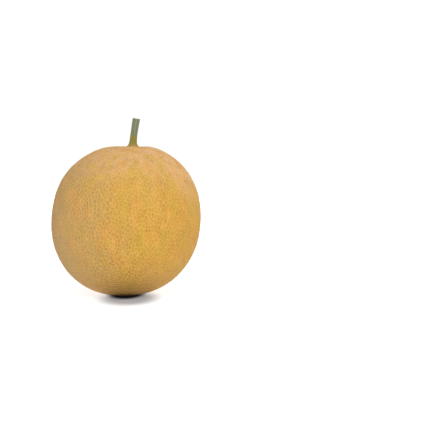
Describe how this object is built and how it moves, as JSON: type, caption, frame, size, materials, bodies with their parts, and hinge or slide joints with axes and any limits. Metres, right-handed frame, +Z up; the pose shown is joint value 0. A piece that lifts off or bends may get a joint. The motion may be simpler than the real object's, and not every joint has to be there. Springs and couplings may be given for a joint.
{
  "type": "netted cantaloupe melon",
  "caption": "Whole netted cantaloupe melon, nearly round, with a short cut stem on its crown and a small flat spot that it rests on.",
  "frame": {"origin": "on the resting surface, under the middle of the fruit", "axes": "+Z up from the blossom end to the stem; the stem leans towards +X, and the side that faces -Y is the front"},
  "size_m": [0.1482, 0.1474, 0.1759],
  "materials": {
    "rind": "matt, finely netted ochre rind",
    "stem": "matt, ribbed grey-green fibre, yellower at its foot"
  },
  "bodies": {
    "root": {"melon_fruit": "rind", "melon_stem": "stem"}
  },
  "joints": []
}
